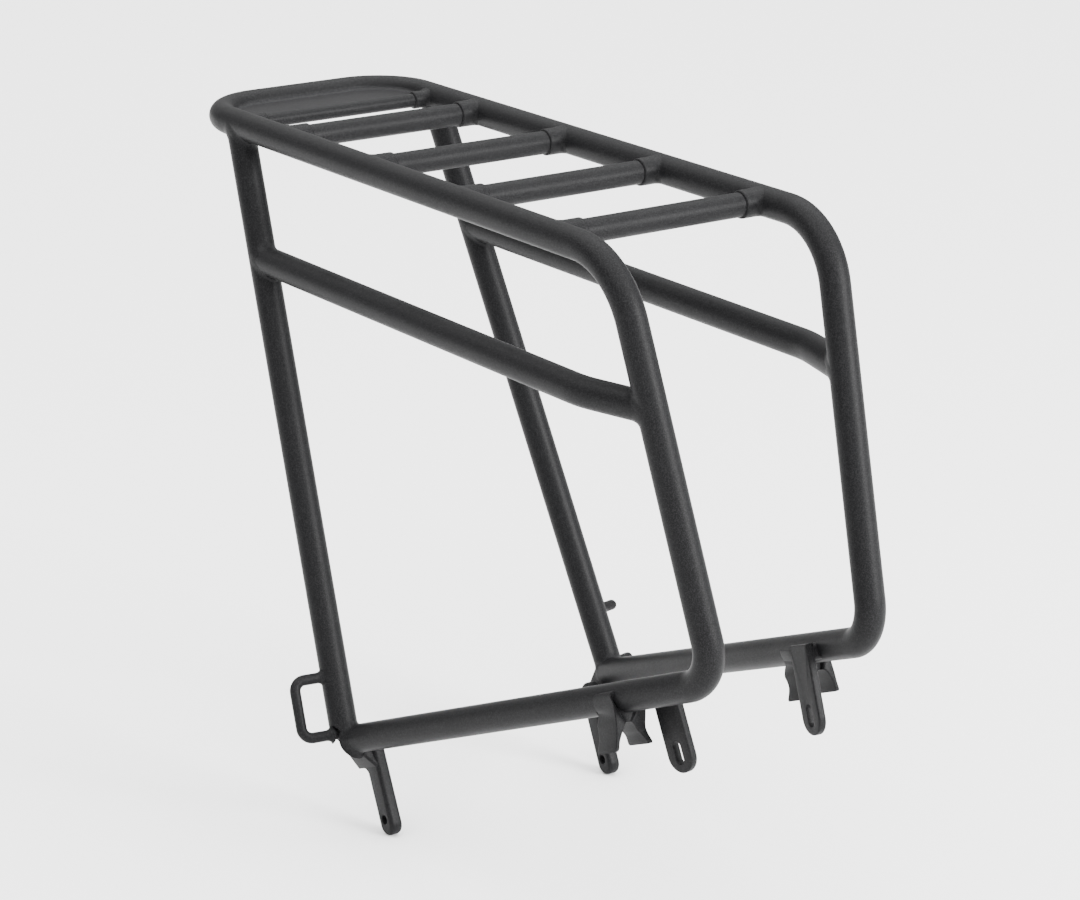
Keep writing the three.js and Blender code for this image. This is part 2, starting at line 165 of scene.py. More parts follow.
def bent_path(corners: Sequence[Array], radii: Sequence[float], turn_step: float = 5.0) -> Array:
    """Centre line of straight runs joined by circular bends.

    At each corner the line leaves the run at radius times the tangent of half the turn, and
    follows the circle that touches both runs.

    Args:
        corners: The two ends and the sharp corners between them.
        radii: One bend radius for each inner corner.
        turn_step: Degrees between rings in a bend.

    Returns:
        Points along the line, with rings only where it bends.
    """
    points = [np.asarray(corners[0], float)[None]]
    for before, corner, after, radius in zip(corners, corners[1:], corners[2:], radii):
        into, out = unit(corner - before), unit(after - corner)
        turn = math.acos(float(np.clip(into @ out, -1, 1)))
        side = unit(out - (out @ into) * into)
        start = corner - into * radius * math.tan(turn / 2)
        a = np.linspace(0, turn, max(3, int(math.degrees(turn) / turn_step) + 1))[:, None]
        points.append(start + radius * (np.sin(a) * into + (1 - np.cos(a)) * side))
    points.append(np.asarray(corners[-1], float)[None])
    return np.concatenate(points)


def spaced(points: Array, step: float, guard: float) -> Array:
    """Adds rings along long straight runs, and one close to each end.

    Args:
        points: Centre line.
        step: Longest distance between rings.
        guard: Distance of the second ring from each end.

    Returns:
        The centre line with more points on it.
    """
    lengths = np.linalg.norm(np.diff(points, axis=0), axis=1)
    station = np.concatenate([[0], np.cumsum(lengths)])
    runs = [np.linspace(a, b, max(2, int((b - a) / step) + 1)) for a, b in zip(station, station[1:])]
    wanted = np.unique(np.round(np.concatenate(runs), 6))
    inner = wanted[(wanted > guard + 1) & (wanted < station[-1] - guard - 1)]
    wanted = np.concatenate([[0, guard], inner, [station[-1] - guard, station[-1]]])
    return np.stack([np.interp(wanted, station, points[:, k]) for k in range(3)], axis=1)


def ring_frames(points: Array) -> tuple[Array, Array, Array]:
    """Directions for rings along a line that never twist about it.

    Each ring's first vector is the one before it, with its part along the new tangent removed.

    Args:
        points: Centre line.

    Returns:
        Tangents, and two unit vectors square to each.
    """
    steps = unit(np.diff(points, axis=0))
    tangents = unit(np.concatenate([steps[:1], steps[:-1] + steps[1:], steps[-1:]]))
    first = np.empty_like(tangents)
    first[0] = across(tangents[0])[0]
    for i in range(1, len(tangents)):
        first[i] = unit(first[i - 1] - (first[i - 1] @ tangents[i]) * tangents[i])
    return tangents, first, np.cross(tangents, first)


def tube_grid(points: Array, radius: Array | float, sides: int) -> Array:
    """A circle carried along a line: centre + radius * (cos a * first + sin a * second).

    Args:
        points: Centre line.
        radius: One radius, or one for each ring.
        sides: Points around the tube.

    Returns:
        Grid of rings by sides by three.
    """
    _, first, second = ring_frames(points)
    a = np.linspace(0, 2 * math.pi, sides, endpoint=False)[None, :, None]
    r = np.broadcast_to(np.asarray(radius, float), (len(points),))[:, None, None]
    return points[:, None] + r * (np.cos(a) * first[:, None] + np.sin(a) * second[:, None])


def cope(grid: Array, bar: Bar, at_start: bool, sink: float = 0.4) -> None:
    """Trims one end of a tube to the skin of the bar that it meets.

    Args:
        grid: Tube, changed in place.
        bar: The bar it meets.
        at_start: True for the first ring, False for the last.
        sink: How far the end reaches below the bar's skin.
    """
    end, near = (0, 1) if at_start else (-1, -2)
    direction = unit(grid[end].mean(0) - grid[near].mean(0))
    grid[end] = bar.reach(grid[near], direction, sink)


def cut_flat(grid: Array, planes: Sequence[tuple[Array, Array]]) -> None:
    """Trims the last ring of a straight tube to whichever plane it meets first.

    Args:
        grid: Tube, changed in place.
        planes: A point and the normal of each plane.
    """
    direction = unit(grid[-1].mean(0) - grid[-2].mean(0))
    reach = [((point - grid[-2]) @ normal) / (direction @ normal) for point, normal in planes]
    grid[-1] = grid[-2] + np.min(reach, axis=0)[:, None] * direction


def bezier(start: Array, pull: Array, end: Array, steps: int) -> Array:
    """Curves between two sets of points, each pulled towards a third.

    Args:
        start: First points.
        pull: Points that the curves bend towards.
        end: Last points.
        steps: Points along each curve.

    Returns:
        Array of steps by points by three.
    """
    t = np.linspace(0, 1, steps)[:, None, None]
    return (1 - t) ** 2 * start + 2 * t * (1 - t) * pull + t**2 * end


# ---------------------------------------------------------------- flat outlines


def rounded(outline: Array, radius: float, steps: int = 5) -> Array:
    """Replaces each corner of a closed outline with an arc that touches both of its sides.

    Args:
        outline: Corners, in order.
        radius: Wanted radius; a short side gets a smaller one.
        steps: Points on each arc.

    Returns:
        The longer outline.
    """
    before, after = np.roll(outline, 1, 0), np.roll(outline, -1, 0)
    into, out = unit(outline - before), unit(after - outline)
    cross = into[:, 0] * out[:, 1] - into[:, 1] * out[:, 0]
    turn = np.arctan2(cross, (into * out).sum(1))
    room = 0.45 * np.minimum(
        np.linalg.norm(outline - before, axis=1), np.linalg.norm(after - outline, axis=1)
    )
    half = np.abs(np.tan(turn / 2))
    back = np.minimum(radius * half, room)
    r = np.where(half > 1e-6, back / np.maximum(half, 1e-6), 0)
    left = np.stack([-into[:, 1], into[:, 0]], 1) * np.sign(turn)[:, None]
    a = np.abs(turn)[:, None] * np.linspace(0, 1, steps)[None]
    start = outline - into * back[:, None]
    arc = r[:, None, None] * (
        np.sin(a)[..., None] * into[:, None] + (1 - np.cos(a))[..., None] * left[:, None]
    )
    return (start[:, None] + arc).reshape(-1, 2)


def resampled(outline: Array, count: int) -> Array:
    """Spreads points evenly round a closed outline.

    Args:
        outline: Closed outline.
        count: How many points.

    Returns:
        The new outline.
    """
    closed = np.concatenate([outline, outline[:1]])
    station = np.concatenate([[0], np.cumsum(np.linalg.norm(np.diff(closed, axis=0), axis=1))])
    s = np.linspace(0, station[-1], count, endpoint=False)
    return np.stack([np.interp(s, station, closed[:, k]) for k in range(2)], axis=1)


def inset(outline: Array, distance: float) -> Array:
    """Moves each point of a counter-clockwise outline inwards, square to the line there."""
    run = unit(np.roll(outline, -1, 0) - np.roll(outline, 1, 0))
    return outline + distance * np.stack([-run[:, 1], run[:, 0]], axis=1)


def stadium(width: float, length: float, centre: Array, count: int) -> Array:
    """Closed outline of a slot: two half circles joined by straight sides, along the second axis.

    Args:
        width: Across the slot.
        length: From end to end.
        centre: Middle of the slot.
        count: Points round it.

    Returns:
        Counter-clockwise outline that starts at its right-hand side.
    """
    a = np.linspace(0, 2 * math.pi, 8 * count, endpoint=False)
    ring = 0.5 * width * np.stack([np.cos(a), np.sin(a)], axis=1)
    ring[:, 1] += np.sign(ring[:, 1]) * 0.5 * (length - width)
    return resampled(ring, count) + centre


def smooth(t: Array) -> Array:
    """Smooth step: 0 below 0, 1 above 1, and 3t^2 - 2t^3 between."""
    t = np.clip(t, 0, 1)
    return t * t * (3 - 2 * t)


def through(points: Array, count: int) -> Array:
    """Carries a smooth curve through points of any number of columns.

    A cubic runs between neighbours, with the slope at each point taken from the points beside it.

    Args:
        points: Points by columns.
        count: How many samples, evenly spaced in the points' numbering.

    Returns:
        Samples by columns.
    """
    slope = np.gradient(points, axis=0)
    t = np.linspace(0, len(points) - 1, count)
    i = np.minimum(t.astype(int), len(points) - 2)
    f = (t - i)[:, None]
    a, b, m, n = points[i], points[i + 1], slope[i], slope[i + 1]
    return (
        a * (2 * f**3 - 3 * f**2 + 1)
        + m * (f**3 - 2 * f**2 + f)
        + b * (3 * f**2 - 2 * f**3)
        + n * (f**3 - f**2)
    )


def rounded_rectangles(half_first: Array, half_second: Array, radius: float, steps: int = 6) -> Array:
    """Rectangles with rounded corners, one for each pair of half sizes.

    Args:
        half_first: Half lengths along the first axis.
        half_second: Half lengths along the second axis.
        radius: Corner radius; a thin rectangle gets a smaller one.
        steps: Points on each corner.

    Returns:
        Rectangles by points by two.
    """
    r = np.minimum(radius, 0.48 * np.minimum(half_first, half_second) * 2)[:, None]
    corner = np.repeat(np.array([[1, 1], [-1, 1], [-1, -1], [1, -1]], float), steps, axis=0)
    a = (np.arange(4)[:, None] * math.pi / 2 + np.linspace(0, math.pi / 2, steps)).ravel()
    first = corner[:, 0] * (half_first[:, None] - r) + r * np.cos(a)
    second = corner[:, 1] * (half_second[:, None] - r) + r * np.sin(a)
    return np.stack([first, second], axis=-1)


# ---------------------------------------------------------------- meshes


def grid_faces(rows: int, columns: int, loop_rows: bool = False, offset: int = 0) -> list[list[int]]:
    """Four-sided faces of a grid that closes on itself across its columns.

    Args:
        rows: Rings.
        columns: Points in each ring.
        loop_rows: True if the last ring also joins the first.
        offset: Number of the grid's first vertex.

    Returns:
        Faces that point outwards when columns turn left round the direction of the rows.
    """
    i = np.arange(rows if loop_rows else rows - 1)[:, None]
    j = np.arange(columns)[None]
    k = (j + 1) % columns
    n = (i + 1) % rows
    quads = np.stack(
        [i * columns + j, i * columns + k, n * columns + k, n * columns + j], axis=-1
    )
    return (quads.reshape(-1, 4) + offset).tolist()


def enclosed(grid: Array, loop_rows: bool) -> float:
    """Volume inside a closed grid, negative when its faces look inwards.

    Adds the signed volumes of the tetrahedra between the grid's middle and each triangle.

    Args:
        grid: Rings by points by three.
        loop_rows: True if the last ring also joins the first.

    Returns:
        Cubic millimetres.
    """
    rel = grid - grid.mean((0, 1))
    here = rel if loop_rows else rel[:-1]
    after = np.roll(rel, -1, 0) if loop_rows else rel[1:]
    here_next, after_next = np.roll(here, -1, 1), np.roll(after, -1, 1)
    total = (np.cross(here, here_next) * after_next).sum()
    total += (np.cross(here, after_next) * after).sum()
    for ring, sign in () if loop_rows else ((rel[0], -1), (rel[-1], 1)):
        total += sign * (np.cross(ring, np.roll(ring, -1, 0)) @ ring.mean(0)).sum()
    return float(total) / 6


@dataclass
class Shell:
    """Vertices and faces that grow as surfaces are added."""

    vertices: list[Array] = field(default_factory=list)
    faces: list[list[int]] = field(default_factory=list)
    count: int = 0

    def add_grid(self, grid: Array, caps: bool = True, loop_rows: bool = False) -> "Shell":
        """Adds a grid of rings.

        Args:
            grid: Rings by points by three.
            caps: Close both ends with one face each.
            loop_rows: Join the last ring to the first instead.

        Returns:
            The shell, so calls can be chained.
        """
        rows, columns, _ = grid.shape
        if enclosed(grid, loop_rows) < 0:
            grid = grid[:, ::-1]
        self.faces += grid_faces(rows, columns, loop_rows, self.count)
        if caps and not loop_rows:
            last = self.count + (rows - 1) * columns
            self.faces.append(list(range(self.count, self.count + columns))[::-1])
            self.faces.append(list(range(last, last + columns)))
        self.vertices.append(grid.reshape(-1, 3))
        self.count += rows * columns
        return self


@dataclass
class Maker:
    """Turns shells into Blender pieces that ride on the rack."""

    finishes: dict[str, bpy.types.Material]

    def piece(
        self,
        name: str,
        shell: Shell,
        slot: str = "black_coat",
        nodes: Sequence[str] = (),
        crease: float = 35.0,
    ) -> bpy.types.Object:
        """Makes one piece.

        Args:
            name: The piece's name.
            shell: Its surface, in millimetres.
            slot: Key of its finish among the maker's finishes.
            nodes: CAD nodes that it stands for.
            crease: Edges sharper than this many degrees stay sharp.

        Returns:
            The new object.
        """
        mesh = bpy.data.meshes.new(name)
        vertices = np.concatenate(shell.vertices) * METRES
        mesh.from_pydata(vertices.tolist(), [], shell.faces)
        mesh.validate()
        mesh.update()
        mesh.shade_smooth()
        mesh.set_sharp_from_angle(angle=math.radians(crease))
        mesh.materials.append(self.finishes[slot])
        piece = bpy.data.objects.new(name, mesh)
        bpy.context.scene.collection.objects.link(piece)
        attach(piece, BODY)
        if nodes:
            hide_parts(*nodes)
        log.info("%s: %d faces", name, len(mesh.polygons))
        return piece


# ---------------------------------------------------------------- finishes


def linear(code: str) -> tuple[float, float, float, float]:
    """Turns an sRGB hex colour into linear light.

    Args:
        code: Colour such as "#2b2b2d".

    Returns:
        Red, green, blue and alpha.
    """
    c = np.array([int(code[k : k + 2], 16) for k in (1, 3, 5)]) / 255
    c = np.where(c <= 0.04045, c / 12.92, ((c + 0.055) / 1.055) ** 2.4)
    return (float(c[0]), float(c[1]), float(c[2]), 1.0)


def add_node(tree: bpy.types.NodeTree, kind: str, **settings: object) -> bpy.types.Node:
    """Adds a shader node and sets it up.

    Args:
        tree: Node tree of the material.
        kind: Node type.
        settings: Attributes, or inputs by name with spaces written as underscores.

    Returns:
        The node.
    """
    node = tree.nodes.new(kind)
    for key, value in settings.items():
        if hasattr(node, key):
            setattr(node, key, value)
        else:
            node.inputs[key.replace("_", " ")].default_value = value
    return node


@dataclass(frozen=True)
class PowderCoat:
    """Polyester powder sprayed on blasted steel tube and baked.

    It sets as a satin skin with a fine sandy grain: flecks catch the light on top of a slow
    orange-peel swell, and the grain changes the gloss slightly from place to place.
    """

    name: str
    shade: str
    fleck: str
    roughness: float = 0.46
    grain: float = 0.55  # millimetres between flecks
    specular: float = 0.075  # strength of the clear reflection, low because the grain breaks it up
    swell: float = 4.0  # millimetres between orange-peel waves
    cloud: float = 38.0  # millimetres across a patch of slightly different gloss

    def build(self) -> bpy.types.Material:
        """Makes the material.

        Returns:
            A node material on Object coordinates.
        """
        material = bpy.data.materials.new(self.name)
        material.use_nodes = True
        tree = material.node_tree
        shader = tree.nodes["Principled BSDF"]
        shader.inputs["Metallic"].default_value = 0.0
        shader.inputs["IOR"].default_value = 1.5
        shader.inputs["Specular IOR Level"].default_value = self.specular
        place = add_node(tree, "ShaderNodeTexCoord").outputs["Object"]
        grain = self.noise(tree, place, self.grain, 2.0, 0.6)
        swell = self.noise(tree, place, self.swell, 1.0, 0.5)
        cloud = self.noise(tree, place, self.cloud, 2.0, 0.5)

        spread = add_node(tree, "ShaderNodeMapRange", From_Min=0.42, From_Max=0.75)
        tree.links.new(grain, spread.inputs["Value"])
        tint = add_node(tree, "ShaderNodeMix", data_type="RGBA")
        tint.inputs[6].default_value = linear(self.shade)
        tint.inputs[7].default_value = linear(self.fleck)
        tree.links.new(spread.outputs["Result"], tint.inputs[0])
        tree.links.new(tint.outputs[2], shader.inputs["Base Color"])

        gloss = add_node(
            tree, "ShaderNodeMapRange", To_Min=self.roughness - 0.05, To_Max=self.roughness + 0.07
        )
        tree.links.new(cloud, gloss.inputs["Value"])
        tree.links.new(gloss.outputs["Result"], shader.inputs["Roughness"])

        fine = add_node(tree, "ShaderNodeBump", Strength=0.55, Distance=0.06 * METRES)
        slow = add_node(tree, "ShaderNodeBump", Strength=0.35, Distance=0.12 * METRES)
        tree.links.new(grain, fine.inputs["Height"])
        tree.links.new(swell, slow.inputs["Height"])
        tree.links.new(slow.outputs["Normal"], fine.inputs["Normal"])
        tree.links.new(fine.outputs["Normal"], shader.inputs["Normal"])
        return material

    def noise(
        self, tree: bpy.types.NodeTree, place: bpy.types.NodeSocket, size: float, detail: float, rough: float
    ) -> bpy.types.NodeSocket:
        """Adds a noise pattern of a real size.

        Args:
            tree: Node tree.
            place: Coordinates.
            size: Millimetres between its lumps.
            detail: Finer layers on top.
            rough: Strength of the finer layers.

        Returns:
            The pattern's value.
        """
        node = add_node(
            tree, "ShaderNodeTexNoise", Scale=1 / (size * METRES), Detail=detail, Roughness=rough
        )
        tree.links.new(place, node.inputs["Vector"])
        return node.outputs["Fac"]


@dataclass(frozen=True)
class PalePaint:
    """Matt off-white paint of the studio floor."""

    name: str = "pale_floor"
    shade: str = "#f7f7f7"

    def build(self) -> bpy.types.Material:
        """Makes the material.

        Returns:
            A plain matt material.
        """
        material = bpy.data.materials.new(self.name)
        material.use_nodes = True
        shader = material.node_tree.nodes["Principled BSDF"]
        shader.inputs["Base Color"].default_value = linear(self.shade)
        shader.inputs["Roughness"].default_value = 0.9
        shader.inputs["Specular IOR Level"].default_value = 0.1
        return material


# ---------------------------------------------------------------- the rack's lines


@dataclass
class RackLines:
    """Centre lines of the rack, hung from the place of its first crossbar."""

    tube: float = 15.9
    crossbar: float = 12.7
    rod: float = 8.0
    wire: float = 6.0
    deck_width: float = 129.2
    deck_length: float = 403.8
    tail_bend: float = 33.5
    top_bend: float = 43.1
    foot_bend: float = 21.7
    upright_drop: float = 199.2
    upright_lean: float = 0.315
    upright_inset: float = 15.3
    rail_reach: float = 278.6
    rail_drop: float = 117.7
    rail_splay: float = 38.0
    strut_from_tail: float = 43.8
    strut_outset: float = 2.7
    first_crossbar: float = 51.6
    mid_rail_drop: float = 70.1
    mid_rail_knee: float = 42.0
    mid_rail_bend: float = 60.0
    middle: float = field(init=False)
    deck: float = field(init=False)
    corner: float = field(init=False)

    def __post_init__(self) -> None:
        """Reads the frame for the middle plane, the deck's height and the front corner."""
        bar = node_box("crossbar_1").mean(0)
        self.middle = float(node_box("hoop_tube").mean(0)[1])
        self.deck = float(bar[2])
        self.corner = float(bar[0]) + self.first_crossbar

    @property
    def radius(self) -> float:
        """Radius of the main tube."""
        return self.tube / 2

    @property
    def tail(self) -> float:
        """X of the tail's centre line."""
        return self.corner - self.deck_length

    def deck_rail(self, side: Side, x: float) -> Array:
        """Point on a deck rail's centre line."""
        return np.array([x, self.middle + side.value * self.deck_width / 2, self.deck])

    def top(self, side: Side) -> Array:
        """Corner above an upright."""
        return self.deck_rail(side, self.corner)

    def foot(self, side: Side) -> Array:
        """Corner at the foot of an upright."""
        drop = self.upright_drop
        return self.top(side) + [self.upright_lean * drop, -side.value * self.upright_inset, -drop]

    def rail_end(self, side: Side) -> Array:
        """Rear end of a bottom rail."""
        return self.foot(side) + [-self.rail_reach, side.value * self.rail_splay, -self.rail_drop]

    def strut_top(self, side: Side) -> Array:
        """Top of a rear strut, on the deck rail's centre line."""
        return self.deck_rail(side, self.tail + self.strut_from_tail)

    def strut_foot(self, side: Side) -> Array:
        """Foot of a rear strut."""
        return self.rail_end(side) + [0.0, side.value * self.strut_outset, 0.0]

    def rail_forward(self) -> Array:
        """Direction of the bottom rail in the side view."""
        return unit(np.array([self.rail_reach, 0.0, self.rail_drop]))

    def rail_up(self) -> Array:
        """Upward direction square to the bottom rail in the side view."""
        forward = self.rail_forward()
        return np.array([-forward[2], 0.0, forward[0]])

    def at_height(self, start: Array, end: Array, height: float) -> Array:
        """Point on a line at a height measured from the deck."""
        t = (self.deck + height - start[2]) / (end[2] - start[2])
        return start + t * (end - start)

    def deck_bar(self, side: Side) -> Bar:
        """The deck rail as a bar."""
        return Bar(self.top(side), np.array([1.0, 0.0, 0.0]), self.radius)

    def strut_bar(self, side: Side) -> Bar:
        """The rear strut as a bar."""
        top, foot = self.strut_top(side), self.strut_foot(side)
        return Bar(top, unit(foot - top), self.radius)

    def upright_bar(self, side: Side) -> Bar:
        """The upright as a bar."""
        top, foot = self.top(side), self.foot(side)
        return Bar(top, unit(foot - top), self.radius)

    def rail_bar(self, side: Side) -> Bar:
        """The bottom rail as a bar."""
        foot, end = self.foot(side), self.rail_end(side)
        return Bar(foot, unit(end - foot), self.radius)


def node_box(node: str) -> Array:
    """A CAD node's lowest and highest corners in millimetres."""
    return np.array(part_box(node), float) / METRES


# ---------------------------------------------------------------- welds


@dataclass(frozen=True)
class Fillet:
    """Weld run between a tube and the bar it lands on."""

    along: float = 4.2  # leg on the tube
    spread: float = 3.4  # leg on the bar
    crown: float = 0.5  # fullness of the bead
    sides: int = 72
    steps: int = 9

    def add(self, shell: Shell, start: Array, away: Array, radius: float, bar: Bar) -> None:
        """Adds the weld as a closed band.

        For each angle round the tube the two skins cross at one point. The face of the bead is a
        curve from the tube's skin, a leg away from that point, to the bar's skin, a leg the other
        way, pulled towards the point and its crown. A hidden fold under the skins closes it.

        Args:
            shell: Takes the surface.
            start: Point on the tube's axis near the bar's axis.
            away: Unit vector along the tube, away from the bar.
            radius: The tube's radius.
            bar: The bar.
        """
        first, second = across(away)
        a = np.linspace(0, 2 * math.pi, self.sides, endpoint=False)[:, None]
        out = np.cos(a) * first + np.sin(a) * second
        far = start + radius * out + 4 * bar.radius * away
        crossing = bar.reach(far, -away)
        normal = unit(bar.off_axis(crossing))
        leave = out - away
        leave = unit(leave - (leave * normal).sum(1, keepdims=True) * normal)
        free = unit(out + normal)
        high = crossing + self.along * away
        low = bar.skin(crossing + self.spread * leave, 0.05)
        face = bezier(high, crossing + self.crown * free, low, self.steps)
        fold = (crossing - 0.9 * free)[None]
        shell.add_grid(np.concatenate([face, fold])[::-1], caps=False, loop_rows=True)


# ---------------------------------------------------------------- sub-assemblies


@dataclass
class MainFrame:
    """The bent hoop, the two struts and the two pannier rails, with their welds."""

    lines: RackLines
    sides: int = 56
    ring_step: float = 24.0
    guard: float = 16.0
    foot_sink: float = 0.4  # strut's slanted end below the knuckle's skin
    foot_depth: float = 5.0  # strut's level end below the foot
    fillet: Fillet = Fillet()

    def build(self, make: Maker) -> None:
        """Builds every tube of the frame.

        Args:
            make: Piece maker.
        """
        self.hoop(make)
        for side in Side:
            self.strut(make, side)
            self.pannier_rail(make, side)

    def hoop(self, make: Maker) -> None:
        """One tube from the right bottom rail over the deck to the left bottom rail."""
        k, right, left = self.lines, Side.RIGHT, Side.LEFT
        corners = [k.rail_end(right), k.foot(right), k.top(right), k.deck_rail(right, k.tail)]
        corners += [k.deck_rail(left, k.tail), k.top(left), k.foot(left), k.rail_end(left)]
        radii = [k.foot_bend, k.top_bend, k.tail_bend, k.tail_bend, k.top_bend, k.foot_bend]
        line = spaced(bent_path(corners, radii, 4.0), self.ring_step, self.guard)
        grid = tube_grid(line, k.radius, self.sides)
        cope(grid, k.strut_bar(right), True)
        cope(grid, k.strut_bar(left), False)
        make.piece("hoop_tube_coated", Shell().add_grid(grid), nodes=["hoop_tube"])
        for side in Side:
            weld = Shell()
            away = -k.rail_bar(side).direction
            Fillet(3.6, 3.2, 0.5).add(weld, k.rail_end(side), away, k.radius, k.strut_bar(side))
            make.piece(f"{side.label}_bottom_rail_weld", weld)

    def strut(self, make: Maker, side: Side) -> None:
        """Strut from the deck rail down to its slanted foot."""
        k = self.lines
        bar = k.strut_bar(side)
        top, foot = k.strut_top(side), k.strut_foot(side)
        line = spaced(np.stack([top, foot + 12 * bar.direction]), self.ring_step, self.guard)
        line = np.delete(line, -2, axis=0)
        grid = tube_grid(line, k.radius, self.sides)
        cope(grid, k.deck_bar(side), True)
        point, normal = Dropout(k, side).slant_plane()
        below = unit(np.array([k.rail_drop / k.rail_reach, 0.0, -1.0]))
        planes = [(point - self.foot_sink * normal, normal), (foot + self.foot_depth * below, below)]
        cut_flat(grid, planes)
        shell = Shell().add_grid(grid)
        make.piece(f"{side.label}_rear_strut_coated", shell, nodes=[f"{side.label}_rear_strut"])
        weld = Shell()
        Fillet(5.2, 3.6, 0.7).add(weld, top, bar.direction, k.radius, k.deck_bar(side))
        make.piece(f"{side.label}_strut_top_weld", weld)

    def pannier_rail(self, make: Maker, side: Side) -> None:
        """Rail from the strut to the upright, bent inwards near the front."""
        k = self.lines
        rear = k.at_height(k.strut_top(side), k.strut_foot(side), -k.mid_rail_drop)
        front = k.at_height(k.top(side), k.foot(side), -k.mid_rail_drop)
        knee = np.array([front[0] - k.mid_rail_knee, rear[1], rear[2]])
        line = bent_path([rear, knee, front], [k.mid_rail_bend], 2.0)
        grid = tube_grid(spaced(line, self.ring_step, self.guard), k.radius, self.sides)
        cope(grid, k.strut_bar(side), True)
        cope(grid, k.upright_bar(side), False)
        shell = Shell().add_grid(grid)
        make.piece(f"{side.label}_pannier_rail_coated", shell, nodes=[f"{side.label}_pannier_rail"])
        weld = Shell()
        self.fillet.add(weld, rear, unit(knee - rear), k.radius, k.strut_bar(side))
        self.fillet.add(weld, front, unit(knee - front), k.radius, k.upright_bar(side))
        make.piece(f"{side.label}_pannier_rail_welds", weld)


